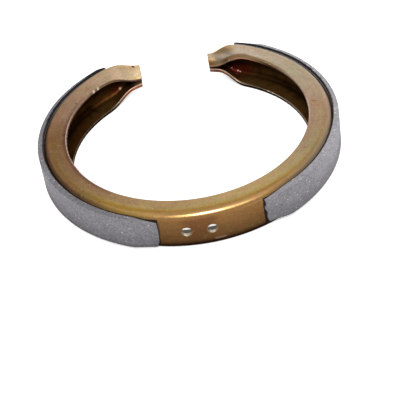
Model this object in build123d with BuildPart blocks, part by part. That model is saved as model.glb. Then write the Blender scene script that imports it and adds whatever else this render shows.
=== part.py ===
from build123d import *
import os
from math import sin, cos, tan, radians, degrees, hypot, sqrt, acos, atan2

# ---------------------------------------------------------------------------
# One-piece drum parking-brake shoe.
# A single strip of steel is pressed into a channel that opens towards the
# centre and rolled into an open ring. Both ends are squeezed into flat tongues
# and two friction segments are bonded to the outside of the band.
#
# Frame: +Z is the ring's axis, Z = 0 is the plane the lower flange rests on,
# the two holes in the band face -Y. Millimetres.
# ---------------------------------------------------------------------------

# ring
drum_r = 95.0          # outside of the linings, the radius the drum is bored to
band_r = 90.9          # outside of the steel band
flange_ri = 76.3       # inner edge of both flanges
height = 25.1          # over both flanges
sheet_t = 2.2          # sheet thickness
bend_r = 3.8           # outside radius of the two rolled corners
edge_r = 0.55          # rolled-over corner of the sheared flange edge, outer face
burr_r = 0.45          # corner of the sheared flange edge, inner face
min_band = 0.3         # straight part of the band left between the two bends at a tongue

# the two holes in the band
hole_r = 3.0
hole_pitch = 15.2
hole_z = height / 2
hole_edge_r = 0.3

# the open side: everything about the squeezed ends is measured in axes turned
# by this angle about Z, because the opening is not square to the hole pair
gap_turn = 1.8
right_cut = 21.0       # end plane of the right tongue, along the turned X
left_cut = -25.5       # end plane of the left tongue
tip_corner_r = 1.0     # rounding of the tongue's outer corners in plan

# squeezed ends: how far each flange moves towards the middle, the turned-X
# centre of its ramp and the ramp's length, each at the inner edge and at the band;
# wider is how much further in the upper flange's edge is pushed there, and the
# turned X where that starts and ends
right_end = dict(top=(9.7, 8.9), top_mid=(33.7, 28.5), top_len=(19.4, 16.6),
                 bot=(9.6, 9.7), bot_mid=(34.4, 31.0), bot_len=(15.5, 17.0),
                 wider=(0.9, 50.0, 34.0))
left_end = dict(top=(9.25, 7.7), top_mid=(37.6, 33.5), top_len=(22.0, 19.0),
                bot=(7.6, 8.2), bot_mid=(39.8, 37.6), bot_len=(17.4, 17.4),
                wider=(1.2, 58.0, 44.0))

# small dimple in the outer bend of the left tongue
dimple_x, dimple_y = -29.8, 80.8         # turned axes
dimple_r = 1.0
dimple_floor = 18.6

# plan angles, degrees
right_join, right_stop = 49.0, 79.0      # squeezed stretch, right
left_join, left_stop = 142.0, 103.0      # squeezed stretch, left
section_step = 1.5

# linings, each: angle of both ends, heights, ends of the full-thickness stretch,
# and outer radius at each end
lining_in_r = 91.2     # 0.3 mm of adhesive between band and lining
left_lining = dict(a0=123.1, a1=255.0, z0=2.7, z1=23.85, k0=127.0, k1=245.4, r0=93.2, r1=92.3)
right_lining = dict(a0=-64.8, a1=66.2, z0=3.6, z1=24.15, k0=-54.2, k1=54.0, r0=92.5, r1=92.2)
left_bond = dict(a0=122.9, a1=255.4, z0=2.7, z1=22.4)
right_bond = dict(a0=-65.1, a1=66.4, z0=3.3, z1=22.4)


def smooth(s):
    s = max(0.0, min(1.0, s))
    return s * s * s * (s * (6 * s - 15) + 10)


def squeeze(end, side, which, r, a):
    """Travel of a flange at radius r and plan angle a (degrees)."""
    x = side * r * cos(radians(a - gap_turn))
    f = (r - flange_ri) / (band_r - bend_r - flange_ri)

    def at_r(pair):
        return pair[0] + f * (pair[1] - pair[0])

    length = at_r(end[which + "_len"]) * 1.22
    return at_r(end[which]) * smooth((at_r(end[which + "_mid"]) + length / 2 - x) / length)


def upper_ri(end, side, a):
    """Radius of the upper flange's inner edge at plan angle a."""
    if end is None:
        return flange_ri
    push, start, stop = end["wider"]
    x = side * flange_ri * cos(radians(a - gap_turn))
    return flange_ri - push * smooth((start - x) / (start - stop))


def radial_plane(a):
    """Plane that holds the ring's axis; local x is radial, local y is +Z."""
    return Plane(origin=(0, 0, 0), x_dir=(cos(radians(a)), sin(radians(a)), 0),
                 z_dir=(sin(radians(a)), -cos(radians(a)), 0))


def section_points(end, side, a):
    """Key points of the channel's section at plan angle a."""
    rq = band_r - bend_r
    if end is None:
        zti = zto = height
        zbi = zbo = 0.0
    else:
        zti = height - squeeze(end, side, "top", flange_ri, a)
        zto = height - squeeze(end, side, "top", rq, a)
        zbi = squeeze(end, side, "bot", flange_ri, a)
        zbo = squeeze(end, side, "bot", rq, a)
    mt = (zto - zti) / (rq - flange_ri)
    mb = (zbo - zbi) / (rq - flange_ri)
    rb = bend_r
    while True:                       # bends get tighter where the band gets low
        cx = band_r - rb
        zt = zti + mt * (cx - flange_ri) - rb * hypot(1, mt)
        zb = zbi + mb * (cx - flange_ri) + rb * hypot(1, mb)
        if zt - zb > min_band:
            return zti, mt, zbi, mb, rb
        rb -= 0.01


def section_outline(end, side, a):
    """Closed outline of the channel at plan angle a."""
    zti, mt, zbi, mb, rb = section_points(end, side, a)
    cx = band_r - rb
    ri = rb - sheet_t

    def unit(x, y):
        n = hypot(x, y)
        return (x / n, y / n)

    nt = unit(-mt, 1.0)        # outward normal of the upper flange
    nb = unit(mb, -1.0)        # outward normal of the lower flange
    # bend centres: rb inside the flange line and rb inside the band line
    ct = (cx, zti + mt * (cx - flange_ri) - rb / nt[1])
    cb = (cx, zbi + mb * (cx - flange_ri) + rb / -nb[1])

    def at(c, n, r):
        return (c[0] + n[0] * r, c[1] + n[1] * r)

    mid_t = unit(nt[0] + 1.0, nt[1])
    mid_b = unit(nb[0] + 1.0, nb[1])
    tt = (nt[1], -nt[0])       # along the upper flange, towards the band
    tb = (-nb[1], nb[0])       # along the lower flange, towards the band
    rit = upper_ri(end, side, a)
    top = (rit, zti + mt * (rit - flange_ri))
    bot = (flange_ri, zbi)

    def off(p, n, d, t, e):
        return (p[0] - n[0] * d + t[0] * e, p[1] - n[1] * d + t[1] * e)

    c45 = 1 - sqrt(0.5)
    with BuildLine() as outline:
        # upper flange outside, corner, band, corner, lower flange outside
        Line(off(top, nt, 0, tt, edge_r), at(ct, nt, rb))
        ThreePointArc(at(ct, nt, rb), at(ct, mid_t, rb), at(ct, (1, 0), rb))
        Line(at(ct, (1, 0), rb), at(cb, (1, 0), rb))
        ThreePointArc(at(cb, (1, 0), rb), at(cb, mid_b, rb), at(cb, nb, rb))
        Line(at(cb, nb, rb), off(bot, nb, 0, tb, edge_r))
        # sheared edge of the lower flange
        ThreePointArc(off(bot, nb, 0, tb, edge_r),
                      off(bot, nb, edge_r * c45, tb, edge_r * c45),
                      off(bot, nb, edge_r, tb, 0))
        Line(off(bot, nb, edge_r, tb, 0), off(bot, nb, sheet_t - burr_r, tb, 0))
        ThreePointArc(off(bot, nb, sheet_t - burr_r, tb, 0),
                      off(bot, nb, sheet_t - burr_r * c45, tb, burr_r * c45),
                      off(bot, nb, sheet_t, tb, burr_r))
        # inside of the channel
        Line(off(bot, nb, sheet_t, tb, burr_r), at(cb, nb, ri))
        ThreePointArc(at(cb, nb, ri), at(cb, mid_b, ri), at(cb, (1, 0), ri))
        Line(at(cb, (1, 0), ri), at(ct, (1, 0), ri))
        ThreePointArc(at(ct, (1, 0), ri), at(ct, mid_t, ri), at(ct, nt, ri))
        Line(at(ct, nt, ri), off(top, nt, sheet_t, tt, burr_r))
        # sheared edge of the upper flange
        ThreePointArc(off(top, nt, sheet_t, tt, burr_r),
                      off(top, nt, sheet_t - burr_r * c45, tt, burr_r * c45),
                      off(top, nt, sheet_t - burr_r, tt, 0))
        Line(off(top, nt, sheet_t - burr_r, tt, 0), off(top, nt, edge_r, tt, 0))
        ThreePointArc(off(top, nt, edge_r, tt, 0),
                      off(top, nt, edge_r * c45, tt, edge_r * c45),
                      off(top, nt, 0, tt, edge_r))
    return outline.line


def span(a, b, step):
    n = max(2, round(abs(b - a) / step))
    return [a + (b - a) * i / n for i in range(n + 1)]


# --- squeezed end, right ---------------------------------------------------
with BuildPart() as tongue_right:
    for a in span(right_join, right_stop, section_step):
        with BuildSketch(radial_plane(a)):
            with BuildLine():
                add(section_outline(right_end, 1, a))
            make_face()
    loft()

# --- squeezed end, left ----------------------------------------------------
with BuildPart() as tongue_left:
    for a in span(left_join, left_stop, section_step):
        with BuildSketch(radial_plane(a)):
            with BuildLine():
                add(section_outline(left_end, -1, a))
            make_face()
    loft()

# --- pressed-steel channel -------------------------------------------------
with BuildPart() as shoe_channel:
    with BuildSketch(radial_plane(left_join)):
        with BuildLine():
            add(section_outline(None, 1, left_join))
        make_face()
    revolve(axis=Axis.Z, revolution_arc=360 - left_join + right_join)
    add(tongue_left.part)
    add(tongue_right.part)

    # both tongues are cut square to the opening, with rounded outer corners
    turned = Plane(origin=(0, 0, -5), x_dir=(cos(radians(gap_turn)), sin(radians(gap_turn)), 0),
                   z_dir=(0, 0, 1))
    with BuildSketch(turned):
        yr = sqrt(band_r ** 2 - right_cut ** 2)
        yl = sqrt(band_r ** 2 - left_cut ** 2)
        with BuildLine():
            Polyline((right_cut, 40), (right_cut, yr - tip_corner_r))
            ThreePointArc((right_cut, yr - tip_corner_r),
                          (right_cut + tip_corner_r * 0.29, yr - tip_corner_r * 0.34),
                          (right_cut + tip_corner_r, yr - 0.02))
            Polyline((right_cut + tip_corner_r, yr - 0.02), (right_cut + tip_corner_r, 110),
                     (left_cut - tip_corner_r, 110), (left_cut - tip_corner_r, yl - 0.02))
            ThreePointArc((left_cut - tip_corner_r, yl - 0.02),
                          (left_cut - tip_corner_r * 0.29, yl - tip_corner_r * 0.34),
                          (left_cut, yl - tip_corner_r))
            Polyline((left_cut, yl - tip_corner_r), (left_cut, 40), (right_cut, 40))
        make_face()
    extrude(amount=height + 10, mode=Mode.SUBTRACT)

    # dimple in the left tongue's outer bend
    with BuildSketch(Plane(origin=(0, 0, dimple_floor),
                           x_dir=(cos(radians(gap_turn)), sin(radians(gap_turn)), 0), z_dir=(0, 0, 1))):
        with Locations((dimple_x, dimple_y)):
            Circle(dimple_r)
    extrude(amount=height - dimple_floor, mode=Mode.SUBTRACT)

    # pair of holes, pierced along -Y in one stroke
    with BuildSketch(Plane(origin=(0, -80, 0), x_dir=(1, 0, 0), z_dir=(0, -1, 0))):
        with Locations((-hole_pitch / 2, hole_z), (hole_pitch / 2, hole_z)):
            Circle(hole_r)
    extrude(amount=20, mode=Mode.SUBTRACT)
    rims = shoe_channel.edges().filter_by(
        lambda e: e.bounding_box().size.Z > 2 * hole_r - 0.1
        and e.bounding_box().size.X < 2 * hole_r + 0.1
        and e.bounding_box().max.Y < -band_r + 1.2
        and e.bounding_box().size.Y > 0.05)
    fillet(rims, radius=hole_edge_r)


def lining_outline(p, inner):
    """Plan outline of a friction segment: two arcs and two ground-back ends."""
    a0, a1, k0, k1 = p["a0"], p["a1"], p["k0"], p["k1"]

    def pt(r, a):
        return (r * cos(radians(a)), r * sin(radians(a)))

    with BuildLine() as outline:
        Line(pt(inner, a0), pt(p["r0"], a0))
        Line(pt(p["r0"], a0), pt(drum_r, k0))
        ThreePointArc(pt(drum_r, k0), pt(drum_r, (k0 + k1) / 2), pt(drum_r, k1))
        Line(pt(drum_r, k1), pt(p["r1"], a1))
        Line(pt(p["r1"], a1), pt(inner, a1))
        ThreePointArc(pt(inner, a1), pt(inner, (a0 + a1) / 2), pt(inner, a0))
    return outline.line


def corner_plane(a):
    """Plane touching the ring at plan angle a; local x runs along the ring, local y is +Z."""
    return Plane(origin=(60 * cos(radians(a)), 60 * sin(radians(a)), 0),
                 x_dir=(-sin(radians(a)), cos(radians(a)), 0),
                 z_dir=(cos(radians(a)), sin(radians(a)), 0))


# --- left friction segment -------------------------------------------------
with BuildPart() as lining_left:
    p = left_lining
    with BuildSketch(Plane.XY.offset(p["z0"])):
        with BuildLine():
            add(lining_outline(p, lining_in_r))
        make_face()
    extrude(amount=p["z1"] - p["z0"])
    # corner worn off the top of the front end
    with BuildSketch(corner_plane(p["a1"])):
        with BuildLine():
            Polyline((-15.0, p["z1"] + 0.01), (1.0, p["z1"] - 3.2), (1.0, p["z1"] + 2.0),
                     (-15.0, p["z1"] + 2.0), close=True)
        make_face()
    extrude(amount=40, mode=Mode.SUBTRACT)

# --- right friction segment ------------------------------------------------
with BuildPart() as lining_right:
    p = right_lining
    with BuildSketch(Plane.XY.offset(p["z0"])):
        with BuildLine():
            add(lining_outline(p, lining_in_r))
        make_face()
    extrude(amount=p["z1"] - p["z0"])
    with BuildSketch(corner_plane(p["a0"])):
        with BuildLine():
            Polyline((15.0, p["z1"] + 0.01), (-1.0, p["z1"] - 2.7), (-1.0, p["z1"] + 2.0),
                     (15.0, p["z1"] + 2.0), close=True)
        make_face()
        with BuildLine():
            Polyline((13.0, p["z0"] - 0.01), (-1.0, p["z0"] + 1.8), (-1.0, p["z0"] - 2.0),
                     (13.0, p["z0"] - 2.0), close=True)
        make_face()
    extrude(amount=40, mode=Mode.SUBTRACT)


def bond_section(p):
    """Adhesive film on the band, carried a little way into the band's rolled corners."""
    zc_t, zc_b = height - bend_r, bend_r
    cx = band_r - bend_r
    zt, zb = p["z1"], p["z0"]

    def on_bend(z, zc):
        return cx + sqrt(bend_r ** 2 - (z - zc) ** 2)

    rt, rbm = on_bend(zt, zc_t), on_bend(zb, zc_b)
    zmt, zmb = (zt + zc_t) / 2, (zb + zc_b) / 2
    with BuildLine() as outline:
        Line((lining_in_r, zb), (lining_in_r, zt))
        Line((lining_in_r, zt), (rt, zt))
        ThreePointArc((rt, zt), (on_bend(zmt, zc_t), zmt), (band_r, zc_t))
        Line((band_r, zc_t), (band_r, zc_b))
        ThreePointArc((band_r, zc_b), (on_bend(zmb, zc_b), zmb), (rbm, zb))
        Line((rbm, zb), (lining_in_r, zb))
    return outline.line


# --- adhesive under the left lining, showing a little beyond both its ends --
with BuildPart() as bond_left:
    p = left_bond
    with BuildSketch(radial_plane(p["a0"])):
        with BuildLine():
            add(bond_section(p))
        make_face()
    revolve(axis=Axis.Z, revolution_arc=p["a1"] - p["a0"])

# --- adhesive under the right lining ---------------------------------------
with BuildPart() as bond_right:
    p = right_bond
    with BuildSketch(radial_plane(p["a0"])):
        with BuildLine():
            add(bond_section(p))
        make_face()
    revolve(axis=Axis.Z, revolution_arc=p["a1"] - p["a0"])

shoe_channel.part.label = "shoe_channel"
lining_left.part.label = "lining_left"
lining_right.part.label = "lining_right"
bond_left.part.label = "bond_left"
bond_right.part.label = "bond_right"

os.makedirs("parts", exist_ok=True)
export_step(shoe_channel.part, "parts/shoe_channel.step")
export_step(lining_left.part, "parts/lining_left.step")
export_step(lining_right.part, "parts/lining_right.step")
export_step(bond_left.part, "parts/bond_left.step")
export_step(bond_right.part, "parts/bond_right.step")

for n, p in (("shoe_channel", shoe_channel), ("lining_left", lining_left),
             ("lining_right", lining_right), ("bond_left", bond_left), ("bond_right", bond_right)):
    bb = p.part.bounding_box()
    print(n, "solids", len(p.part.solids()), "valid", p.part.is_valid, "volume %.1f" % p.part.volume,
          "box", [round(v, 2) for v in (*bb.min, *bb.max)])
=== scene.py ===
import bpy
import math
from mathutils import Matrix, Vector, noise

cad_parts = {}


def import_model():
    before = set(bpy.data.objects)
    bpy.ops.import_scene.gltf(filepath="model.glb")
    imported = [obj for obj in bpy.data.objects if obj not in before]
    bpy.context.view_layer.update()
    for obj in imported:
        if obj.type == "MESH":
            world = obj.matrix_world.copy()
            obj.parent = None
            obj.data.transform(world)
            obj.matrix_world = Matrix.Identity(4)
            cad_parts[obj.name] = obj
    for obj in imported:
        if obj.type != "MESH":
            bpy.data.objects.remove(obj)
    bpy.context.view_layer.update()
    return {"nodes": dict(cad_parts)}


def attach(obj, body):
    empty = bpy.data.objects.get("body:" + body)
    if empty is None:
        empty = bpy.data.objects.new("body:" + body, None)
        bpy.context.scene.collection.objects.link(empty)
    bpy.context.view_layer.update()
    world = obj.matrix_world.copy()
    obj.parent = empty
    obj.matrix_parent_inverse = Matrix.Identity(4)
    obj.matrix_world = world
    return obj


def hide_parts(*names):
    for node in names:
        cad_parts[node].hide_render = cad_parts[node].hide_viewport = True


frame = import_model()
scene = bpy.context.scene
MM = 0.001

# ---------------------------------------------------------------------------
# camera, at the photograph's viewing angle
# ---------------------------------------------------------------------------
cam = bpy.data.cameras.new("camera")
cam.sensor_fit = "HORIZONTAL"
cam.sensor_width = 36.0
cam.lens = 118.93
cam.clip_start = 0.01
cam.clip_end = 40.0
cam_ob = bpy.data.objects.new("camera", cam)
scene.collection.objects.link(cam_ob)
cam_rot = Matrix(((0.9896132359812022, 0.1423173476971654, 0.020283385202110094),
                  (-0.07450706001352221, 0.6284419460821715, -0.7742799354320077),
                  (-0.12294039685536423, 0.7647264170596546, 0.6325181150545403)))
cam_ob.matrix_world = Matrix.Translation((0.02178589, -0.68940583, 0.52351712)) @ cam_rot.to_4x4()
scene.camera = cam_ob
scene.view_settings.view_transform = "Standard"
scene.view_settings.look = "None"


# ---------------------------------------------------------------------------
# node helpers
# ---------------------------------------------------------------------------
class Tree:
    def __init__(self, owner):
        owner.use_nodes = True
        self.nt = owner.node_tree
        self.nt.nodes.clear()

    def node(self, kind, **props):
        n = self.nt.nodes.new(kind)
        for k, v in props.items():
            setattr(n, k, v)
        return n

    def put(self, socket, value):
        if value is None:
            return
        if isinstance(value, bpy.types.NodeSocket):
            self.nt.links.new(value, socket)
        elif isinstance(value, (tuple, list)) and socket.type == "RGBA" and len(value) == 3:
            socket.default_value = (*value, 1.0)
        else:
            socket.default_value = value

    def math(self, op, a, b=None, c=None, clamp=False):
        n = self.node("ShaderNodeMath", operation=op, use_clamp=clamp)
        for i, v in enumerate((a, b, c)):
            self.put(n.inputs[i], v)
        return n.outputs[0]

    def add(self, a, b):
        return self.math("ADD", a, b)

    def mul(self, a, b):
        return self.math("MULTIPLY", a, b)

    def sub(self, a, b):
        return self.math("SUBTRACT", a, b)

    def hi(self, a, b):
        return self.math("MAXIMUM", a, b)

    def lo(self, a, b):
        return self.math("MINIMUM", a, b)

    def span(self, v, a, b, c=0.0, d=1.0, smooth=True):
        """v from a..b to c..d, held at both ends."""
        n = self.node("ShaderNodeMapRange", interpolation_type="SMOOTHSTEP" if smooth else "LINEAR", clamp=True)
        for name, x in (("Value", v), ("From Min", a), ("From Max", b), ("To Min", c), ("To Max", d)):
            self.put(n.inputs[name], x)
        return n.outputs[0]

    def vec(self, op, a, b=None, out=0, scale=None):
        n = self.node("ShaderNodeVectorMath", operation=op)
        self.put(n.inputs[0], a)
        if b is not None:
            self.put(n.inputs[1], b)
        if scale is not None:
            self.put(n.inputs["Scale"], scale)
        return n.outputs[out]

    def split(self, v):
        n = self.node("ShaderNodeSeparateXYZ")
        self.put(n.inputs[0], v)
        return n.outputs[0], n.outputs[1], n.outputs[2]

    def join(self, x, y, z):
        n = self.node("ShaderNodeCombineXYZ")
        for i, v in enumerate((x, y, z)):
            self.put(n.inputs[i], v)
        return n.outputs[0]

    def noise(self, vector, scale, detail=2.0, rough=0.5, distort=0.0, colour=False):
        n = self.node("ShaderNodeTexNoise", noise_dimensions="3D", normalize=True)
        self.put(n.inputs["Vector"], vector)
        self.put(n.inputs["Scale"], scale)
        self.put(n.inputs["Detail"], detail)
        self.put(n.inputs["Roughness"], rough)
        self.put(n.inputs["Distortion"], distort)
        return n.outputs["Color" if colour else "Fac"]

    def cells(self, vector, scale, feature="F1", random=1.0):
        n = self.node("ShaderNodeTexVoronoi", voronoi_dimensions="3D", feature=feature)
        self.put(n.inputs["Vector"], vector)
        self.put(n.inputs["Scale"], scale)
        self.put(n.inputs["Randomness"], random)
        return n.outputs["Distance"], n.outputs["Color"]

    def mix(self, fac, a, b, mode="MIX"):
        n = self.node("ShaderNodeMix", data_type="RGBA", blend_type=mode, clamp_factor=True)
        self.put(n.inputs[0], fac)
        self.put(n.inputs[6], a)
        self.put(n.inputs[7], b)
        return n.outputs[2]

    def tint(self, colour, amount):
        """colour times a grey amount."""
        return self.vec("SCALE", colour, scale=amount)

    def ramp(self, fac, stops, mode="LINEAR"):
        n = self.node("ShaderNodeValToRGB")
        n.color_ramp.interpolation = mode
        el = n.color_ramp.elements
        while len(el) < len(stops):
            el.new(0.5)
        for e, (p, c) in zip(el, stops):
            e.position = p
            e.color = (*c, 1.0) if isinstance(c, (tuple, list)) else (c, c, c, 1.0)
        self.put(n.inputs[0], fac)
        return n.outputs[0]

    def bump(self, height, strength, distance, normal=None):
        n = self.node("ShaderNodeBump")
        self.put(n.inputs["Strength"], strength)
        self.put(n.inputs["Distance"], distance)
        self.put(n.inputs["Height"], height)
        if normal is not None:
            self.put(n.inputs["Normal"], normal)
        return n.outputs[0]

    def principled(self, colour, rough, metallic, normal=None, **sockets):
        b = self.node("ShaderNodeBsdfPrincipled")
        self.put(b.inputs["Base Color"], colour)
        self.put(b.inputs["Roughness"], rough)
        self.put(b.inputs["Metallic"], metallic)
        if normal is not None:
            self.put(b.inputs["Normal"], normal)
        for k, v in sockets.items():
            self.put(b.inputs[k.replace("_", " ")], v)
        out = self.node("ShaderNodeOutputMaterial")
        self.nt.links.new(b.outputs[0], out.inputs[0])
        return b

    def place(self):
        """Object position in millimetres, its parts, radius and plan angle in degrees."""
        tc = self.node("ShaderNodeTexCoord")
        p = self.vec("SCALE", tc.outputs["Object"], scale=1000.0)
        x, y, z = self.split(p)
        r = self.math("SQRT", self.add(self.mul(x, x), self.mul(y, y)))
        a = self.math("DEGREES", self.math("ARCTAN2", y, x))
        return tc, p, x, y, z, r, a


# ---------------------------------------------------------------------------
# steel: pressed sheet with a golden-brown passivated finish
# ---------------------------------------------------------------------------
def steel_material():
    m = bpy.data.materials.new("passivated_steel")
    t = Tree(m)
    tc, p, x, y, z, r, a = t.place()
    nx, ny, nz = t.split(tc.outputs["Normal"])
    nr = t.math("DIVIDE", t.add(t.mul(nx, x), t.mul(ny, y)), t.hi(r, 1.0))
    xt = t.add(t.mul(x, 0.9995), t.mul(y, 0.0314))       # across the opening
    behind = t.span(y, 10.0, 40.0)                        # the half of the ring with the opening

    def times(c, colour, amount):
        return t.mix(amount, c, t.mix(1.0, c, colour, "MULTIPLY"))

    def spot(px, py, pz, r0, r1):
        return t.span(t.vec("DISTANCE", p, (px, py, pz), out=1), r1, r0)

    # which face of the sheet this is: 0 band, 1 flange, and the inside of the channel
    face = t.math("ABSOLUTE", nz)
    upper = t.span(z, 12.3, 12.8)
    under_top = t.mul(t.span(nz, -0.15, -0.4), upper)
    over_low = t.mul(t.mul(t.span(nz, 0.15, 0.4), t.sub(1.0, upper)), t.span(r, 76.75, 77.0))
    inner_wall = t.mul(t.mul(t.span(nr, -0.2, -0.5), t.span(r, 79.0, 81.0)), t.span(face, 0.75, 0.6))
    hx = t.sub(t.math("ABSOLUTE", x), 7.6)
    hz = t.sub(z, 12.55)
    hole = t.math("SQRT", t.add(t.mul(hx, hx), t.mul(hz, hz)))
    bore = t.mul(t.span(hole, 3.12, 3.06), t.mul(t.span(y, -86.0, -88.0), t.span(r, 88.5, 88.8)))
    shear = t.mul(t.span(nr, -0.62, -0.80), t.span(r, 79.0, 78.0))
    back = t.hi(behind, t.mul(t.span(y, 4.0, 14.0), t.span(x, 40.0, 60.0)))
    inside = t.mul(t.hi(inner_wall, t.hi(under_top, over_low)), t.sub(1.0, t.hi(bore, t.mul(shear, back))))
    on_top = t.mul(t.span(nz, 0.55, 0.75), upper)
    wander = t.mul(t.sub(t.noise(p, 0.10, 3.0, 0.6), 0.5), 2.0)

    # flange: the finish drifts from olive gold in front to brown on the left and cream at the back right; partly real
    # tone and partly painted shade and light, darker on the left and lighter at the back right for how the light
    # reflects round the ring
    turn = t.add(t.math("DIVIDE", t.add(a, t.mul(wander, 16.0)), 360.0), 0.5)
    flange = t.ramp(turn, [
        (0.0, (0.205, 0.112, 0.055)), (0.083, (0.252, 0.145, 0.078)), (0.180, (0.372, 0.240, 0.118)),
        (0.320, (0.470, 0.322, 0.152)), (0.420, (0.346, 0.250, 0.150)), (0.495, (0.395, 0.255, 0.165)), (0.528, (0.420, 0.318, 0.228)),
        (0.585, (0.431, 0.368, 0.252)), (0.660, (0.540, 0.443, 0.350)), (0.850, (0.488, 0.365, 0.250)),
        (0.917, (0.322, 0.210, 0.138)), (1.0, (0.205, 0.112, 0.055))])
    gold = (0.49, 0.272, 0.062)
    band = (0.485, 0.252, 0.088)
    front = t.span(y, 20.0, -70.0)
    left = t.span(x, 10.0, -80.0)
    warm = t.span(y, 40.0, -60.0)
    # painted shade: the rolled bend darker on the left
    rolled = times(gold, (0.44, 0.36, 0.26), t.span(x, -46.0, -82.0, 0.0, 0.9))
    rolled = times(rolled, (1.0, 1.10, 0.74), t.span(x, -12.0, -40.0))
    rolled = times(rolled, (0.90, 0.84, 0.66), warm)
    wall = times(band, (0.60, 0.50, 0.40), t.mul(left, 0.8))
    wall = times(wall, (0.90, 0.84, 0.66), warm)
    flanks = t.sub(1.0, t.mul(t.hi(t.span(x, 48.0, 72.0), t.span(x, -44.0, -70.0)), 0.62))
    c = t.mix(t.mul(t.mul(t.span(r, 82.0, 88.5), t.add(0.25, t.mul(front, 0.75))), flanks), flange, rolled)
    c = t.mix(t.span(face, 0.45, 0.10), c, wall)
    # painted shade: the foot of the band darkened nearly to black
    c = times(c, (0.10, 0.055, 0.02), t.mul(t.span(z, 6.8, 2.2), t.span(nz, 0.5, 0.1)))

    # painted shade: deeper, darker gold where the bend runs out into the band
    runout_shade = t.mul(t.mul(t.span(nz, 0.12, 0.24), t.span(nz, 0.56, 0.44)), t.mul(t.mul(t.span(r, 89.0, 89.8), upper), t.mul(front, t.span(x, 62.0, 40.0))))
    c = times(c, (0.80, 0.72, 0.42), runout_shade)
    # painted shade: duller, darker belt where the flange starts to roll over, at the front
    belt_shade = t.mul(t.mul(t.span(r, 84.2, 86.6), t.span(r, 88.8, 87.6)), t.mul(front, on_top))
    c = times(c, (0.76, 0.74, 0.58), t.mul(belt_shade, 0.9))
    c = times(c, (0.96, 1.05, 0.95), t.mul(t.mul(t.span(r, 80.5, 83.0), t.span(r, 87.0, 85.5)), t.mul(on_top, t.span(y, 30.0, -30.0))))
    # painted shade: darker rolled corner on the left
    c = times(c, (0.62, 0.56, 0.50), t.mul(t.mul(t.span(r, 87.2, 89.8), t.span(t.add(x, t.mul(wander, 8.0)), -35.0, -72.0)), t.sub(1.0, inside)))
    # redder patch of the band round the two holes, and lighter rims, a painted highlight on their rounded edges
    patch = t.mul(t.span(t.math("ABSOLUTE", t.add(t.add(a, 89.5), t.mul(wander, 2.0))), 9.0, 4.0), t.span(face, 0.4, 0.1))
    c = times(c, (0.76, 0.64, 0.56), t.mul(patch, t.span(t.math("ABSOLUTE", t.sub(z, 16.0)), 4.0, 9.0, 0.95, 0.45)))
    rim_highlight = t.mul(t.mul(t.span(hole, 3.02, 3.12), t.span(hole, 3.45, 3.30)), t.span(y, -84.0, -87.0))
    c = t.mix(t.mul(rim_highlight, 0.7), c, (0.72, 0.52, 0.30))
    c = t.mix(bore, c, (0.80, 0.68, 0.52))

    # squeezed ends: the left tip painted a lighter cream, painted light; golden brown on the inner half of the right
    # tip, painted shade
    tip_l = t.mul(t.mul(behind, on_top), t.span(t.add(xt, t.mul(wander, 4.0)), -48.0, -30.0))
    tip_l = t.mul(tip_l, t.span(xt, 5.0, 0.0))
    c = t.mix(tip_l, c, t.mix(t.span(r, 79.0, 86.0), (0.86, 0.645, 0.41), (0.69, 0.49, 0.275)))
    olive = t.mul(t.mul(t.span(r, 78.4, 75.8), t.mul(t.span(xt, -34.0, -29.0), t.span(xt, 5.0, 0.0))), t.mul(behind, on_top))
    c = times(c, (1.0, 0.92, 0.50), t.mul(olive, 0.9))
    tip_r = t.mul(t.mul(behind, on_top), t.span(t.add(xt, t.mul(wander, 3.0)), 30.0, 23.0))
    tip_r = t.mul(tip_r, t.span(xt, -5.0, 0.0))
    c = t.mix(t.mul(tip_r, 0.75), c, (0.50, 0.40, 0.27))
    # painted highlight: a lighter streak across the right tip
    ridge_highlight = t.math("ABSOLUTE", t.sub(t.sub(xt, 24.5), t.mul(t.sub(85.0, r), 1.5)))
    ridge_highlight = t.mul(t.mul(t.span(t.add(ridge_highlight, t.mul(wander, 1.0)), 4.6, 1.4), t.span(r, 87.2, 86.0)), t.mul(behind, on_top))
    ridge_highlight = t.mul(ridge_highlight, t.span(xt, 38.0, 34.0))
    c = t.tint(c, t.add(1.0, t.mul(t.mul(ridge_highlight, t.span(r, 82.5, 85.5, 1.0, 0.35)), 0.62)))
    # painted highlight: a bright gold spot on the right tip
    gold_highlight = t.vec("DISTANCE", t.join(t.mul(xt, 0.55), r, 0.0), (12.9, 80.9, 0.0), out=1)
    gold_highlight = t.mul(t.mul(t.span(gold_highlight, 2.5, 0.9), t.span(xt, 20.0, 21.0)), t.mul(behind, on_top))
    c = t.mix(gold_highlight, c, t.mix(1.0, t.tint(c, 1.75), (1.0, 0.88, 0.66), "MULTIPLY"))
    shoulder = t.mul(t.mul(t.span(t.add(r, t.mul(wander, 0.8)), 81.4, 83.0), t.span(xt, 25.6, 28.4)), t.mul(t.span(xt, 40.0, 36.5), t.mul(behind, on_top)))
    c = times(c, (0.93, 0.80, 0.58), shoulder)
    # painted shade: golden brown on the inner half of the right tip
    brown = t.span(t.add(t.add(r, t.mul(t.sub(xt, 22.0), 0.55)), t.mul(wander, 1.6)), 82.6, 80.2)
    brown = t.mul(t.mul(brown, t.mul(behind, on_top)), t.mul(t.span(xt, -5.0, 0.0), t.span(xt, 29.0, 22.0, 0.0, 0.95)))
    c = times(c, t.mix(t.span(xt, 26.0, 23.0), (0.28, 0.18, 0.10), (0.42, 0.27, 0.12)), brown)
    # darker along the inner edge of the right tip
    darker_tip_edge = t.mul(t.mul(t.span(r, 79.0, 78.0), t.mul(t.span(xt, 20.0, 21.0), t.span(xt, 36.0, 32.0))), t.mul(behind, on_top))
    c = times(c, (0.74, 0.60, 0.42), t.mul(darker_tip_edge, 0.9))
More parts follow.
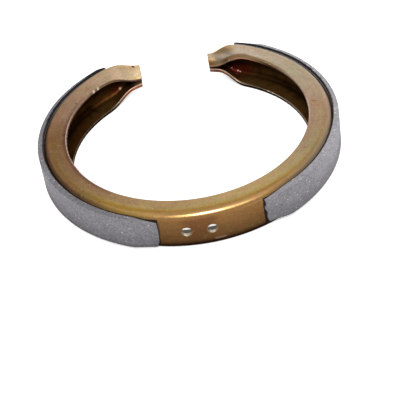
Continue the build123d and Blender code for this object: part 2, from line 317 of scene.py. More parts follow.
    # painted shade: olive brown margin along the inner edge, back right
    margin = t.add(t.add(r, t.span(xt, 40.0, 74.0, 0.0, 1.3)), t.mul(wander, 0.4))
    margin = t.mul(t.mul(t.span(margin, 79.9, 78.3), t.span(xt, 27.0, 34.0)), t.mul(back, t.mul(t.span(nz, 0.25, 0.45), upper)))
    c = times(c, (0.47, 0.38, 0.26), t.mul(margin, t.span(xt, 76.0, 62.0)))
    # painted shade: a dark purple spot in the dimple on the left tip
    c = t.mix(t.mul(spot(-32.3, 79.8, 18.8, 0.8, 1.5), 0.85), c, (0.20, 0.115, 0.115))

    # passivation mottling, with fine lines left along the rolling direction
    slow = t.noise(p, 0.055, 3.0, 0.55)
    c = times(c, (0.86, 0.84, 0.80), t.span(slow, 0.35, 0.7, 0.0, 0.30))
    cloud = t.noise(p, 0.20, 3.0, 0.6, colour=True)
    c = t.mix(0.16, c, cloud, "OVERLAY")
    swirl = t.noise(t.join(t.mul(r, 1.0), t.mul(a, 0.16), z), 0.9, 3.0, 0.6)
    c = t.tint(c, t.span(swirl, 0.30, 0.70, 0.90, 1.10, False))
    grain = t.noise(p, 0.75, 4.0, 0.75)
    c = t.tint(c, t.span(grain, 0.34, 0.66, 0.87, 1.13, False))
    d, col = t.cells(p, 0.55)
    k1, k2, k3 = t.split(col)
    fleck = t.mul(t.span(d, 0.42, 0.20), t.span(k1, 0.84, 0.88))
    c = times(c, (0.62, 0.56, 0.50), t.mul(fleck, 0.55))
    nick = t.mul(t.span(d, 0.30, 0.12), t.span(k2, 0.90, 0.93))
    c = t.mix(t.mul(nick, 0.35), c, (0.80, 0.66, 0.48))

    # scratches and small stains on the upper flange
    for x0, y0, x1, y1, wide, deep in ((79.2, 3.3, 82.1, 2.5, 0.45, 0.75), (75.4, 39.3, 77.4, 37.9, 0.5, 0.35)):
        n = math.hypot(x1 - x0, y1 - y0)
        ux, uy = (x1 - x0) / n, (y1 - y0) / n
        s = t.add(t.mul(t.sub(x, x0), ux), t.mul(t.sub(y, y0), uy))
        off = t.math("ABSOLUTE", t.sub(t.mul(t.sub(x, x0), -uy), t.mul(t.sub(y, y0), -ux)))
        line = t.mul(t.mul(t.span(s, -0.3, 0.2), t.span(s, n + 0.3, n - 0.2)), t.span(off, wide, wide * 0.3))
        c = times(c, (0.30, 0.26, 0.22), t.mul(t.mul(line, on_top), deep))
    c = times(c, (0.40, 0.34, 0.30), t.mul(spot(-70.2, 37.4, 25.1, 0.3, 1.3), 0.7))
    c = times(c, (0.62, 0.42, 0.52), t.mul(spot(-77.9, 4.8, 25.1, 0.5, 2.6), 0.6))
    # rubbed oval low on the band
    scuff = t.mul(t.span(t.math("ABSOLUTE", t.add(a, 82.6)), 2.7, 1.6), t.span(t.math("ABSOLUTE", t.sub(z, 4.9)), 0.85, 0.35))
    c = t.mix(t.mul(t.mul(scuff, 0.8), t.span(y, -80.0, -85.0)), c, (0.80, 0.58, 0.34))

    # inside of the channel: dark, partly an oily finish and partly painted shade, with straw and purple heat tints
    # near the squeezed ends
    dark = t.ramp(t.noise(p, 0.12, 3.0, 0.6), [(0.3, (0.030, 0.020, 0.008)), (0.52, (0.070, 0.046, 0.018)), (0.75, (0.048, 0.028, 0.010))])
    right_end = t.mul(t.span(y, 66.0, 80.0), t.span(x, 16.0, 26.0))
    left_end = t.mul(t.span(y, 58.0, 74.0), t.span(x, -24.0, -34.0))
    # painted shade: darker up under the top flange than lower down, warmer throughout
    dark = t.mix(1.0, t.tint(dark, t.span(z, 16.0, 9.0, 1.0, 2.0)), (1.22, 0.92, 0.62), "MULTIPLY")
    # painted light: lighter grey low down at the front, on the lower flange seen through the holes
    dark = t.mix(t.mul(t.span(y, -55.0, -70.0), t.span(z, 9.0, 6.0)), dark, (0.27, 0.25, 0.20))
    dark = t.mix(t.mul(t.mul(right_end, t.span(x, 66.0, 48.0)), 0.6), dark, (0.115, 0.028, 0.005))
    patchy = t.span(t.noise(p, 0.42, 3.0, 0.7), 0.42, 0.58)
    blush = t.hi(spot(36.8, 80.6, 4.6, 1.5, 6.0), t.mul(spot(24.0, 76.0, 9.5, 3.0, 8.0), 0.5))
    blush = t.hi(blush, t.mul(spot(43.0, 77.6, 6.2, 1.0, 6.0), 0.7))
    dark = t.mix(t.mul(blush, t.add(0.42, t.mul(patchy, 0.45))), dark, (0.26, 0.020, 0.014))
    dark = t.mix(t.mul(left_end, t.span(z, 11.0, 7.0, 0.0, 0.35)), dark, (0.12, 0.040, 0.012))
    # painted reflection: an orange streak along the concave lower bend at the left end
    streak_reflection = t.mul(t.mul(t.span(r, 86.4, 87.6), t.span(z, 6.4, 5.0)), t.span(left_end, 0.0, 0.3))
    dark = t.mix(t.mul(streak_reflection, t.add(0.35, t.mul(patchy, 0.45))), dark, (0.36, 0.16, 0.035))
    dark = t.mix(t.mul(spot(-46.6, 75.4, 6.4, 1.0, 4.2), 0.7), dark, (0.22, 0.030, 0.024))
    # painted shade: darker along the foot of the inner wall, and high up in the back half
    foot = t.mul(t.mul(t.span(r, 84.0, 86.5), t.span(z, 6.0, 4.5)), t.sub(1.0, t.hi(left_end, right_end)))
    dark = times(dark, (0.45, 0.42, 0.40), foot)
    dark = times(dark, (0.38, 0.32, 0.34), t.mul(behind, t.span(z, 6.8, 10.0)))
    dark = t.mix(t.mul(spot(-30.5, 74.5, 9.9, 2.0, 6.5), 0.8), dark, (0.32, 0.18, 0.11))
    # painted shade: darker on the left wall, more so higher up, and in a spot at the right end
    dark = times(dark, (0.62, 0.48, 0.45), t.mul(t.span(x, -50.0, -72.0), t.span(y, -30.0, 5.0)))
    dark = times(dark, (0.35, 0.30, 0.30), t.mul(t.span(z, 11.0, 17.0), t.mul(t.span(x, -50.0, -66.0), t.span(y, -6.0, 14.0))))
    dark = times(dark, (0.30, 0.28, 0.30), spot(31.5, 83.0, 9.5, 2.0, 4.5))
    c = t.mix(inside, c, dark)

    # painted glints: small bright spots inside the channel near both ends, one of them bluish
    for gx, gy, gz, size, tone in ((37.6, 80.2, 3.6, 0.75, (0.95, 0.75, 0.75)), (38.9, 79.4, 3.0, 0.6, (0.85, 0.62, 0.62)),
                                   (33.7, 82.0, 5.4, 0.6, (0.80, 0.55, 0.55)), (36.2, 77.5, 3.0, 0.7, (0.40, 0.38, 0.46)),
                                   (-43.6, 76.9, 5.3, 1.1, (0.95, 0.80, 0.62))):
        c = t.mix(t.mul(spot(gx, gy, gz, size * 0.4, size * 1.3), 0.95), c, tone)

    # sheared inner edges: reddish brown, with painted highlight and painted shade on parts of them; a raised burr on
    # the lower flange's ends
    edge = t.hi(t.mul(t.span(r, 77.2, 76.7), t.mul(t.sub(1.0, inside), t.sub(1.0, back))), t.mul(shear, back))
    c = t.mix(t.mul(edge, 0.55), c, t.mix(behind, (0.36, 0.235, 0.150), (0.46, 0.31, 0.21)))
    # painted highlight: lighter along parts of the edge at the front and sides
    side = t.mul(edge, t.mul(t.mul(t.span(y, 50.0, 40.0), t.hi(t.span(y, -26.0, -8.0), t.mul(t.span(y, -80.0, -60.0), t.span(x, -10.0, -35.0, 0.0, 0.9)))), t.hi(t.span(x, 0.0, -60.0, 0.35, 1.0), t.span(x, 45.0, 70.0, 0.0, 0.8))))
    side = t.mul(side, t.hi(t.mul(t.span(z, 24.1, 24.6), t.span(y, 10.0, 30.0, 1.0, 0.6)), t.span(y, 14.0, 0.0)))
    # painted shade: sheared faces darker on the left, darkest at the back right
    sheared = t.mix(t.span(x, 0.0, 10.0), (0.60, 0.56, 0.52), t.mix(t.span(x, 42.0, 58.0), (1.0, 0.86, 0.84), (0.17, 0.14, 0.11)))
    c = times(c, sheared, t.mul(t.mul(edge, t.hi(t.span(y, 8.0, 26.0), back)), t.mul(t.span(nz, 0.75, 0.3), upper)))
    c = t.mix(t.mul(t.mul(shear, upper), t.mul(t.span(x, -38.0, -31.0), t.span(x, -5.0, -15.0, 0.0, 0.9))), c, (0.46, 0.26, 0.21))
    # painted shade: lower half of that face on the right tongue is in the black slit, painted near black
    top_z = t.add(t.add(15.1, t.span(x, 20.0, 25.0, 0.0, 1.2, False)), t.span(x, 25.0, 33.0, 0.0, 4.8, False))
    slit = t.mul(t.mul(shear, upper), t.mul(t.span(t.sub(z, top_z), -0.9, -1.4), t.mul(t.span(x, 10.0, 16.0), t.span(x, 40.0, 34.0))))
    c = times(c, (0.07, 0.05, 0.04), t.mul(slit, back))
    c = t.mix(t.mul(side, 0.85), c, (0.80, 0.62, 0.54))
    rose = t.mul(t.mul(t.span(r, 79.9, 77.8), t.span(r, 76.8, 77.2)), t.mul(t.mul(t.span(x, -35.0, -56.0), t.span(y, -68.0, -52.0)), t.mul(t.span(y, 50.0, 24.0), t.mul(t.span(nz, 0.6, 0.9), upper))))
    c = times(c, (0.66, 0.60, 0.74), rose)
    # painted shade: darker rolled corner on the right
    c = times(c, (0.62, 0.62, 0.62), t.mul(t.mul(t.span(r, 86.6, 90.0), t.sub(1.0, inside)), t.mul(t.span(x, 38.0, 60.0), t.span(y, -12.0, -36.0))))
    # painted highlight: cream dashes on the left sheared edge, less metallic there
    nib = t.mul(t.hi(spot(-58.6, 49.0, 24.2, 0.8, 1.5), spot(-55.8, 51.9, 24.1, 0.7, 1.3)), t.mul(back, t.span(r, 77.0, 76.6)))
    c = t.mix(t.mul(nib, 0.95), c, (0.62, 0.53, 0.41))
    # painted highlight: a bright yellow line by the inner edge of the left tip
    bright = t.mul(spot(-29.2, 70.1, 15.9, 0.8, 2.6), t.mul(t.span(r, 77.0, 76.3), t.span(nz, 0.5, 0.8)))
    c = t.mix(t.mul(bright, 0.75), c, (0.98, 0.80, 0.46))
    # painted highlight along the thin burr on the lower flange's squeezed ends, red-brown shear below it
    squeezed = t.mul(t.span(y, 50.0, 62.0), t.sub(1.0, upper))
    burr_highlight = t.mul(t.mul(t.span(r, 77.9, 77.5), t.mul(t.span(nz, 0.30, 0.55), t.sub(1.0, shear))), squeezed)
    burr_highlight = t.mul(burr_highlight, t.mul(t.span(x, 50.0, 26.0), t.span(x, -54.0, -34.0)))
    c = t.mix(t.mul(burr_highlight, 0.92), c, (0.98, 0.80, 0.58))
    under = t.mul(shear, t.mul(t.sub(1.0, upper), t.span(y, 20.0, 50.0)))
    red_l = t.mix(t.span(x, -36.0, -46.0), (0.50, 0.17, 0.09), (0.10, 0.045, 0.020))
    red_r = t.mix(t.span(x, 24.0, 30.0), (0.20, 0.050, 0.045), t.mix(t.span(x, 34.0, 44.0), (0.17, 0.055, 0.028), (0.06, 0.025, 0.012)))
    c = t.mix(t.mul(under, 0.92), c, t.mix(t.span(x, -5.0, 5.0), red_l, red_r))
    # painted glint: a small light dot on the right tongue's upper edge
    c = t.mix(t.mul(spot(32.2, 68.6, 20.7, 0.3, 0.9), 0.7), c, (0.80, 0.66, 0.55))
    # painted highlight: paler colour along the crest of the front bend
    ridge_highlight = t.mul(t.span(t.math("ABSOLUTE", t.sub(nz, 0.755)), 0.10, 0.04), t.mul(t.span(r, 88.0, 88.6), upper))
    ridge_highlight = t.mul(ridge_highlight, t.span(t.math("ABSOLUTE", t.add(a, 85.0)), 5.5, 2.5))
    c = t.mix(t.mul(ridge_highlight, 0.8), c, (0.74, 0.56, 0.40))
    # painted shade: the crest dimmed to the left of the highlight, with less coat there
    highlight_dim = t.mul(t.span(a, -91.0, -94.0), t.mul(t.span(a, -106.0, -101.0), t.mul(t.span(nz, 0.55, 0.65), t.span(r, 87.8, 88.6))))
    c = t.tint(c, t.sub(1.0, t.mul(t.mul(highlight_dim, upper), 0.25)))

    rough = t.add(0.34, t.span(t.noise(p, 0.35, 3.0, 0.6), 0.3, 0.7, -0.04, 0.05, False))
    rough = t.add(rough, t.mul(t.span(face, 0.9, 1.0), 0.08))
    rough = t.add(rough, t.mul(inside, 0.34))
    fine = t.add(t.mul(t.noise(p, 2.0, 2.0, 0.6), 1.0), t.mul(t.noise(p, 0.6, 2.0, 0.5), 1.6))
    n = t.bump(fine, 0.45, 0.00007)
    coat = t.mul(t.span(r, 86.3, 88.8, 0.10, 0.9), t.sub(1.0, t.mul(inside, 0.95)))
    coat = t.mul(coat, t.mul(t.span(face, 0.12, 0.45, 0.35, 1.0), t.span(z, 4.6, 2.8, 1.0, 0.1)))
    coat = t.mul(coat, t.span(x, -70.0, -25.0, 0.3, 1.0))
    coat = t.mul(coat, t.sub(1.0, t.mul(t.mul(highlight_dim, upper), 0.25)))
    t.principled(c, rough, t.sub(1.0, t.mul(nib, 0.85)), n, Coat_Weight=coat, Coat_Roughness=0.28, Coat_IOR=1.8, Specular_Tint=(0.60, 0.42, 0.30, 1.0))
    return m


# ---------------------------------------------------------------------------
# moulded friction material
# ---------------------------------------------------------------------------
def lining_material():
    m = bpy.data.materials.new("friction_composite")
    t = Tree(m)
    tc, p, x, y, z, r, a = t.place()
    at = t.node("ShaderNodeAttribute", attribute_name="shade", attribute_type="GEOMETRY")
    shade = at.outputs["Fac"]

    grit = t.noise(p, 0.85, 4.0, 0.8)
    blot = t.noise(p, 0.45, 3.0, 0.6)
    wide = t.noise(p, 0.09, 2.0, 0.5)
    base = t.ramp(grit, [(0.27, (0.160, 0.156, 0.172)), (0.5, (0.266, 0.258, 0.280)), (0.73, (0.400, 0.388, 0.412))])
    base = t.tint(base, t.span(blot, 0.3, 0.7, 0.90, 1.10, False))
    base = t.tint(base, t.span(wide, 0.35, 0.65, 0.95, 1.05, False))
    # resin and fibre flecks, slightly warm or cool
    hue = t.noise(p, 1.1, 2.0, 0.6, colour=True)
    base = t.mix(0.10, base, hue, "OVERLAY")

    # brass and mineral chips
    d, col = t.cells(p, 0.62)
    cx, cy, cz = t.split(col)
    chip = t.mul(t.span(d, 0.30, 0.18), t.span(cx, 0.88, 0.90))
    base = t.mix(t.mul(chip, 0.85), base, (0.78, 0.74, 0.68))
    d2, col2 = t.cells(p, 1.35)
    c2x, c2y, c2z = t.split(col2)
    spark = t.mul(t.span(d2, 0.34, 0.15), t.span(c2x, 0.90, 0.93))
    base = t.mix(t.mul(spark, 0.65), base, (0.70, 0.68, 0.66))
    # open pores
    d3, col3 = t.cells(p, 0.95)
    c3x, c3y, c3z = t.split(col3)
    pore = t.mul(t.span(d3, 0.36, 0.12), t.span(c3x, 0.80, 0.84))
    base = t.mix(t.mul(pore, 0.75), base, (0.045, 0.042, 0.045))

    # painted shade: darker towards the foot of each segment, and on the top of the left one
    nx, ny, nz = t.split(tc.outputs["Normal"])
    base = t.tint(base, t.sub(1.0, t.mul(t.mul(t.span(nz, 0.45, 0.8), t.span(x, -5.0, -60.0)), 0.38)))
    base = t.tint(base, t.mul(t.span(z, 17.0, 5.0, 1.0, 0.80), t.span(z, 5.8, 3.6, 1.0, 0.72)))

    # painted shade: the segments darker towards the front, the right one a little lighter further back
    base = t.tint(base, t.add(t.mul(t.span(x, 5.0, -5.0), t.span(y, -62.0, -25.0, 0.83, 1.0)), t.mul(t.span(x, -5.0, 5.0), t.span(y, -74.0, -44.0, 0.86, 1.09))))
    # dark adhesive squeezed out on to the edges, and painted shade in the groove and on the ends: brown at the front,
    # near black at the back
    base = t.mix(shade, base, t.mix(t.span(y, 0.0, 30.0), (0.030, 0.019, 0.011), (0.005, 0.004, 0.004)))

    h = t.sub(t.add(t.mul(grit, 1.0), t.mul(blot, 0.9)), t.mul(pore, 1.2))
    n = t.bump(h, 0.55, 0.00016)
    rough = t.sub(t.span(grit, 0.3, 0.7, 0.92, 0.74, False), t.mul(t.add(chip, spark), 0.3))
    t.principled(base, rough, 0.0, n, Specular_IOR_Level=0.18)
    return m


def bond_material():
    m = bpy.data.materials.new("cured_adhesive")
    t = Tree(m)
    tc, p, x, y, z, r, a = t.place()
    g = t.noise(p, 0.9, 3.0, 0.6)
    c = t.ramp(g, [(0.3, (0.006, 0.004, 0.002)), (0.6, (0.022, 0.013, 0.007)), (0.8, (0.06, 0.036, 0.018))])
    n = t.bump(g, 0.6, 0.0002)
    t.principled(c, t.span(g, 0.3, 0.7, 0.45, 0.65, False), 0.0, n, Specular_IOR_Level=0.2)
    return m


steel = steel_material()
friction = lining_material()
adhesive = bond_material()


# ---------------------------------------------------------------------------
# friction linings: swept grids with worn, chipped edges
# ---------------------------------------------------------------------------
def pt(r, a):
    return (r * math.cos(math.radians(a)), r * math.sin(math.radians(a)))


def table(x, rows):
    if x <= rows[0][0]:
        return rows[0][1]
    for (x0, y0), (x1, y1) in zip(rows, rows[1:]):
        if x <= x1:
            s = (x - x0) / (x1 - x0)
            s = s * s * (3 - 2 * s)
            return y0 + (y1 - y0) * s
    return rows[-1][1]


def fbm(x, y, z, f, octaves=3, seed=0.0):
    s, amp, tot = 0.0, 1.0, 0.0
    for i in range(octaves):
        k = f * 2 ** i
        s += amp * noise.noise(Vector((x * k + seed, y * k + 3.1 * i, z * k - seed)))
        tot += amp
        amp *= 0.55
    return s / tot


DRUM_R, IN_R = 95.0, 91.2
LININGS = {
    "lining_left": dict(
        a0=123.1, a1=255.0, z0=2.7, z1=23.85, k0=127.0, k1=245.4, r0=93.2, r1=92.3, front=1,
        top_cut=(15.0, 1.0, 3.2), low_cut=None,
        recess=[(2.7, 1.9), (4.8, 1.25), (6.2, 0.55), (8.2, 0.35), (11.0, 0.05), (14.3, 0.0), (17.0, 0.12), (20.0, 0.3), (23.9, 0.6)],
        seam=[(124, 93.6), (136, 92.9), (150, 92.7), (160, 92.6), (170, 92.3), (180, 92.0), (190, 91.8), (200, 91.4), (210, 91.1), (226, 91.1), (238, 91.5), (252, 91.7), (260, 91.7)],
        seed=11.3),
    "lining_right": dict(
        a0=-64.8, a1=66.2, z0=3.6, z1=24.15, k0=-54.2, k1=54.0, r0=92.5, r1=92.2, front=-1,
        top_cut=(15.0, 1.0, 2.7), low_cut=(13.0, 1.0, 1.8),
        recess=[(3.6, 2.6), (5.4, 2.1), (6.8, 1.5), (8.9, 1.0), (11.9, 1.3), (13.6, 0.9), (15.3, 0.05), (16.3, 0.1), (17.8, 1.0), (20.0, 0.85), (21.6, 0.45), (22.6, 0.05), (24.2, 0.0)],
        seam=[(-70, 89.0), (-32, 89.0), (-28, 90.2), (-10, 91.4), (0, 92.0), (10, 92.3), (20, 92.4), (30, 92.6), (45, 92.8), (52, 92.6), (57, 92.6), (62, 92.2), (70, 91.9)],
        seed=47.9),
}


def outer_radius(s, a):
    for k, e, re in ((s["k0"], s["a0"], s["r0"]), (s["k1"], s["a1"], s["r1"])):
        if (a - k) * (e - k) > 0:
            px, py = pt(DRUM_R, k)
            qx, qy = pt(re, e)
            ux, uy = pt(1.0, a)
            dx, dy = qx - px, qy - py
            den = dx * uy - dy * ux
            return min(DRUM_R, (dx * py - dy * px) / den)
    return DRUM_R


def heights(s, r, a):
    """Lower and upper height of the segment at radius r and plan angle a."""
    z0, z1 = s["z0"], s["z1"]
    end = s["a1"] if s["front"] > 0 else s["a0"]
    along = r * math.sin(math.radians(a - end)) * s["front"]      # 0 at the front end, negative inside
    if s["top_cut"]:
        back, over, drop = s["top_cut"]
        if along > -back:
            z1 = z1 - drop * (along + back) / (back + over)
    if s["low_cut"]:
        back, over, rise = s["low_cut"]
        if along > -back:
            z0 = z0 + rise * (along + back) / (back + over)
    return z0, z1


def spread(total, step, fine, reach):
    """Stations from 0 to total, close together near both ends."""
    out, v = [0.0], 0.0
    while v < total / 2:
        h = fine + (step - fine) * min(1.0, v / reach)
        v += h
        out.append(v)
    half = [q * (total / 2) / out[-1] for q in out]
    return half + [total - q for q in reversed(half[:-1])]


def build_lining(name, s):
    arc = math.radians(s["a1"] - s["a0"]) * DRUM_R
    us = spread(arc, 0.62, 0.20, 6.0)                    # along the ring, mm at the drum
    vs = spread(1.0, 0.030, 0.010, 0.10)                 # across the height
    ws = spread(1.0, 0.14, 0.07, 0.3)                    # through the thickness, 0 at the drum face
    nu, nv, nw = len(us), len(vs), len(ws)
    end_mm = math.radians(1.0) * 92.0

    def where(u, v, w):
        """Place of a point and its local distances (mm) from the end faces, edges and drum face."""
        a = s["a0"] + (s["a1"] - s["a0"]) * u / arc
        ro = outer_radius(s, a)
        thick = ro - IN_R
        z0, z1 = heights(s, ro - w * thick, a)
        zz = z0 + (z1 - z0) * v
        # ragged ends: the whole end is drawn in by an amount that changes with height
        x0, y0 = pt(93.0, a)
        jag = 0.16 * fbm(x0, y0, zz, 0.9, 3, s["seed"])
        pull = table(zz, s["recess"]) + jag
        back_pull = 0.25 + 0.5 * max(0.0, fbm(3.0, 7.0, zz, 0.35, 3, s["seed"] + 5)) + jag
        lo, hi = (back_pull, pull) if s["front"] > 0 else (pull, back_pull)
        lo, hi = max(lo, 0.0), max(hi, 0.0)
        fade0 = max(0.0, 1 - u / 5.0) ** 2
        fade1 = max(0.0, 1 - (arc - u) / 5.0) ** 2
        u2 = u + lo * fade0 - hi * fade1
        a2 = s["a0"] + (s["a1"] - s["a0"]) * u2 / arc
        ro = outer_radius(s, a2)
        thick = ro - IN_R
        z0, z1 = heights(s, ro - w * thick, a2)
        zz = z0 + (z1 - z0) * v
        rr = ro - w * thick
        gx, gy = pt(rr, a2)

        # worn edges: radius grows where a chip has gone
        chip = fbm(gx, gy, zz, 0.55, 3, s["seed"] + 21)
        chip2 = fbm(gx, gy, zz, 1.6, 2, s["seed"] + 33)
        rho = 0.28 + 0.9 * max(0.0, chip - 0.18) + 0.35 * max(0.0, chip2 - 0.1)
        ends = max(fade0, fade1)
        rho = rho * (1 + 0.8 * ends)
        if s["front"] > 0 and v > 0.5:
            rho += 1.0 * max(0.0, min(1.0, (152.0 - a2) / 18.0))
        hgt = z1 - z0
        da = min(u, arc - u)
        db = min(v, 1 - v) * hgt
        dc = w * thick
        rho = min(rho, thick * 0.8, hgt * 0.4)
        q = [max(0.0, rho - d) for d in (da, db, dc)]
        # the two inner edges stay square against the band
        if dc > thick - 0.6:
            q[2] = 0.0
        ql = math.sqrt(q[0] ** 2 + q[1] ** 2 + q[2] ** 2)
        da2, db2, dc2 = da, db, dc
        if ql > 1e-9 and sum(1 for k in q if k > 0) > 1:
            da2, db2, dc2 = (rho - rho * k / ql if k > 0 else d for k, d in zip(q, (da, db, dc)))
        # moulded and ground surface: shallow grain, always cut into the block
        grain = 0.5 + 0.5 * fbm(gx, gy, zz, 1.3, 2, s["seed"] + 60)
        swell = 0.5 + 0.5 * fbm(gx, gy, zz, 0.16, 2, s["seed"] + 80)
        cut = 0.07 * grain + 0.05 * swell
        if dc < 0.7:
            dc2 += cut * (1 - dc / 0.7)
        if db < 0.7:
            db2 += cut * 1.3 * (1 - db / 0.7)
        if da < 0.7:
            da2 += cut * (1 - da / 0.7)
        # back to space
        du = (da2 - da) * (1 if u < arc / 2 else -1)
        a3 = a2 + (s["a1"] - s["a0"]) * du / arc
        zf = z0 + db2 if v < 0.5 else z1 - db2
        rf = ro - dc2
        if w > 0.999:
            rf = IN_R
        x3, y3 = pt(rf, a3)
        return x3, y3, zf, rf, a3, da, db, dc

    verts, index, shade = [], {}, []
    end = s["a1"] if s["front"] > 0 else s["a0"]

    def vid(i, j, k):
        key = (i, j, k)
        if key not in index:
            x3, y3, zf, rf, a3, da, db, dc = where(us[i], vs[j], ws[k])
            index[key] = len(verts)
            verts.append((x3 * MM, y3 * MM, zf * MM))
            # shade: dark adhesive over the upper edge next to the band and over the ends, partly painted shade of the
            # groove and the end faces, and painted shade along the lower inner edge
            wob = 0.28 * fbm(x3, y3, zf, 0.45, 3, s["seed"] + 90) + 0.12 * fbm(x3, y3, zf, 1.7, 2, s["seed"])
            lim = table(a3, s["seam"]) + wob
            near = 1.0 if rf < lim else max(0.0, 1 - (rf - lim) / 0.22)
            if db > 0.45 or vs[j] < 0.5:
                near = 0.0
            tip = 0.0
            if da < 0.25 and dc > 0.12:
                tip = 0.8
            low = 0.75 if (vs[j] < 0.5 and db < 0.3 and dc > 0.35) else 0.0
            shade.append(max(near, tip, low))
        return index[key]

    faces = []

    def quad(a, b, c, d):
        faces.append((vid(*a), vid(*b), vid(*c), vid(*d)))

    for i in range(nu - 1):
        for j in range(nv - 1):
            quad((i, j, 0), (i + 1, j, 0), (i + 1, j + 1, 0), (i, j + 1, 0))
            quad((i, j + 1, nw - 1), (i + 1, j + 1, nw - 1), (i + 1, j, nw - 1), (i, j, nw - 1))
        for k in range(nw - 1):
            quad((i, nv - 1, k), (i + 1, nv - 1, k), (i + 1, nv - 1, k + 1), (i, nv - 1, k + 1))
            quad((i, 0, k + 1), (i + 1, 0, k + 1), (i + 1, 0, k), (i, 0, k))
    for j in range(nv - 1):
        for k in range(nw - 1):
            quad((0, j, k), (0, j + 1, k), (0, j + 1, k + 1), (0, j, k + 1))
            quad((nu - 1, j, k + 1), (nu - 1, j + 1, k + 1), (nu - 1, j + 1, k), (nu - 1, j, k))
    me = bpy.data.meshes.new(name + "_worn")
    me.from_pydata(verts, [], faces)
    me.validate()
    me.update()
    at = me.attributes.new("shade", "FLOAT", "POINT")
    at.data.foreach_set("value", shade)
    for poly in me.polygons:
        poly.use_smooth = True
    ob = bpy.data.objects.new(name + "_worn", me)
    scene.collection.objects.link(ob)
    me.materials.append(friction)
    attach(ob, "root")
    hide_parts(name)
    return ob


for lining_name, lining_spec in LININGS.items():
    build_lining(lining_name, lining_spec)


# ---------------------------------------------------------------------------
# adhesive films: ragged where they show past the ends of the linings
# ---------------------------------------------------------------------------
BONDS = {
    "bond_left": dict(a0=122.9, a1=255.15, z0=2.7, z1=22.4, seed=5.0),
    "bond_right": dict(a0=-65.0, a1=66.4, z0=3.3, z1=22.4, seed=23.0),
}


def band_surface(z):
    """Radius of the steel band's outside at height z, with its rolled corners."""
    for zc in (21.3, 3.8):
        if (zc > 12 and z > zc) or (zc < 12 and z < zc):
            return 87.1 + math.sqrt(max(0.0, 3.8 ** 2 - (z - zc) ** 2))
    return 90.9


def build_bond(name, s):
    arc = math.radians(s["a1"] - s["a0"]) * 91.0
    us = spread(arc, 1.3, 0.22, 5.0)
    zs = [s["z0"] + (s["z1"] - s["z0"]) * k for k in spread(1.0, 0.035, 0.018, 0.15)]
    nu, nz = len(us), len(zs)
    verts, faces = [], []

    def point(u, z, layer):
        lo = 0.35 + 0.45 * fbm(1.0, 2.0, z, 0.5, 4, s["seed"])
        hi = 0.35 + 0.45 * fbm(4.0, 9.0, z, 0.5, 4, s["seed"] + 7)
        u2 = u + max(0.0, lo) * max(0.0, 1 - u / 3.0) ** 2 - max(0.0, hi) * max(0.0, 1 - (arc - u) / 3.0) ** 2
        a = s["a0"] + (s["a1"] - s["a0"]) * u2 / arc
        inner = band_surface(z) + 0.015
        thin = min(1.0, 0.25 + min(u, arc - u) / 0.9)
        wob = 0.03 * fbm(u, 0.0, z, 0.8, 2, s["seed"])
        outer = inner + (91.19 - inner) * thin + min(0.0, wob)
        return pt(outer if layer else inner, a) + (z,)

    for layer in (0, 1):
        for u in us:
            for z in zs:
                x, y, zz = point(u, z, layer)
                verts.append((x * MM, y * MM, zz * MM))

    def v(layer, i, j):
        return (layer * nu + i) * nz + j

    for i in range(nu - 1):
        for j in range(nz - 1):
            faces.append((v(1, i, j), v(1, i + 1, j), v(1, i + 1, j + 1), v(1, i, j + 1)))
            faces.append((v(0, i, j + 1), v(0, i + 1, j + 1), v(0, i + 1, j), v(0, i, j)))
        faces.append((v(0, i, 0), v(0, i + 1, 0), v(1, i + 1, 0), v(1, i, 0)))
        faces.append((v(1, i, nz - 1), v(1, i + 1, nz - 1), v(0, i + 1, nz - 1), v(0, i, nz - 1)))
    for j in range(nz - 1):
        faces.append((v(0, 0, j), v(1, 0, j), v(1, 0, j + 1), v(0, 0, j + 1)))
        faces.append((v(0, nu - 1, j + 1), v(1, nu - 1, j + 1), v(1, nu - 1, j), v(0, nu - 1, j)))
    me = bpy.data.meshes.new(name + "_film")
    me.from_pydata(verts, [], faces)
    me.validate()
    me.update()
    for poly in me.polygons:
        poly.use_smooth = True
    ob = bpy.data.objects.new(name + "_film", me)
    scene.collection.objects.link(ob)
    me.materials.append(adhesive)
    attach(ob, "root")
    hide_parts(name)
    return ob


for bond_name, bond_spec in BONDS.items():
    build_bond(bond_name, bond_spec)

channel = frame["nodes"]["shoe_channel"]
channel.data.materials.clear()
channel.data.materials.append(steel)


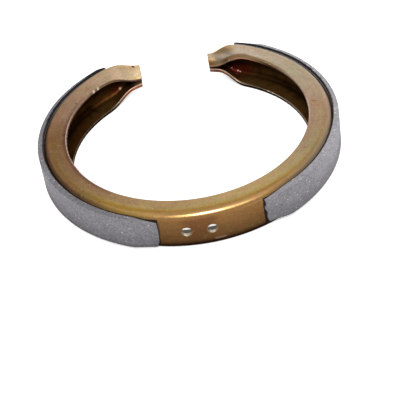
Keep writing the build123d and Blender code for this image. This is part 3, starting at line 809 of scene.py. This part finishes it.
# ---------------------------------------------------------------------------
# studio: pale floor, soft boxes
# ---------------------------------------------------------------------------
def stage_floor():
    me = bpy.data.meshes.new("floor")
    me.from_pydata([(-6, -6, 0), (6, -6, 0), (6, 6, 0), (-6, 6, 0)], [], [(0, 1, 2, 3)])
    ob = bpy.data.objects.new("floor", me)
    scene.collection.objects.link(ob)
    m = bpy.data.materials.new("floor")
    t = Tree(m)
    seen = t.node("ShaderNodeBsdfDiffuse")
    seen.inputs["Color"].default_value = (0.86, 0.86, 0.86, 1)
    glow = t.node("ShaderNodeEmission")
    glow.inputs["Color"].default_value = (1, 1, 1, 1)
    glow.inputs["Strength"].default_value = 0.55
    both = t.node("ShaderNodeAddShader")
    t.nt.links.new(seen.outputs[0], both.inputs[0])
    t.nt.links.new(glow.outputs[0], both.inputs[1])
    # seen only by reflections and bounce light: painted shade, the floor darker close round and in front of the ring,
    # and a painted glow behind it
    table_top = t.node("ShaderNodeBsdfDiffuse")
    tc = t.node("ShaderNodeTexCoord")
    x, y, z = t.split(tc.outputs["Object"])
    rr = t.math("SQRT", t.add(t.mul(x, x), t.mul(y, y)))
    ahead = t.mul(t.span(y, 0.0, -0.05), t.span(t.math("ABSOLUTE", x), 0.12, 0.05))
    open_floor = t.hi(t.span(rr, 0.095, 0.112, 0.10, 0.92), t.span(rr, 0.072, 0.058, 0.0, 0.80))
    fore = t.span(rr, 0.094, 0.126, 0.21, 0.60)
    ahead = t.mul(ahead, t.span(rr, 0.080, 0.085))
    far = t.add(t.mul(open_floor, t.sub(1.0, ahead)), t.mul(fore, ahead))
    t.put(table_top.inputs["Color"], t.join(far, far, far))
    lit = t.node("ShaderNodeEmission")
    t.put(lit.inputs["Strength"], t.mul(t.span(y, 0.0, 0.06), t.span(rr, 0.100, 0.125, 0.0, 0.45)))
    spread_light = t.node("ShaderNodeAddShader")
    t.nt.links.new(table_top.outputs[0], spread_light.inputs[0])
    t.nt.links.new(lit.outputs[0], spread_light.inputs[1])
    ray = t.node("ShaderNodeLightPath")
    mix = t.node("ShaderNodeMixShader")
    t.nt.links.new(ray.outputs["Is Camera Ray"], mix.inputs[0])
    t.nt.links.new(spread_light.outputs[0], mix.inputs[1])
    t.nt.links.new(both.outputs[0], mix.inputs[2])
    out = t.node("ShaderNodeOutputMaterial")
    t.nt.links.new(mix.outputs[0], out.inputs[0])
    me.materials.append(m)


def soft_box(name, az, el, dist, width, height, radiance, fill=False):
    l = bpy.data.lights.new(name, "AREA")
    l.shape = "RECTANGLE"
    l.size = width
    l.size_y = height
    l.energy = radiance * math.pi * width * height
    ob = bpy.data.objects.new(name, l)
    scene.collection.objects.link(ob)
    a, e = math.radians(az), math.radians(el)
    at = Vector((math.cos(e) * math.cos(a), math.cos(e) * math.sin(a), math.sin(e))) * dist
    ob.location = at
    ob.rotation_euler = (-at).to_track_quat("-Z", "Y").to_euler()
    ob.visible_camera = False
    ob.visible_glossy = not fill
    return ob


def world():
    w = bpy.data.worlds.new("studio")
    scene.world = w
    t = Tree(w)
    tc = t.node("ShaderNodeTexCoord")
    x, y, z = t.split(tc.outputs["Generated"])
    back = t.span(y, -0.1, 0.35)
    behind = t.mul(t.span(x, -0.60, -0.40, 0.38, 1.10), t.span(x, 0.36, 0.64, 1.0, 0.60))
    level = t.add(t.mul(t.sub(1.0, back), 0.5), t.mul(back, behind))
    over = t.span(z, 0.76, 0.95)
    level = t.add(t.mul(level, t.sub(1.0, over)), t.mul(over, 0.9))
    ray = t.node("ShaderNodeLightPath")
    level = t.add(t.mul(level, t.sub(1.0, ray.outputs["Is Camera Ray"])), ray.outputs["Is Camera Ray"])
    bg = t.node("ShaderNodeBackground")
    t.put(bg.inputs["Color"], (1.0, 0.995, 0.985))
    t.put(bg.inputs["Strength"], level)
    out = t.node("ShaderNodeOutputWorld")
    t.nt.links.new(bg.outputs[0], out.inputs[0])


stage_floor()
world()
soft_box("key", -76, 52, 2.4, 1.70, 1.15, 2.9)
soft_box("key_core", -89, 49, 2.4, 0.56, 0.42, 17.0)
soft_box("key_spark", -90, 49, 2.4, 0.24, 0.18, 60.0)
soft_box("left", 182, 10, 2.4, 1.20, 0.90, 3.2, fill=True)
soft_box("right", 30, 8, 2.4, 1.20, 1.00, 7.2, fill=True)
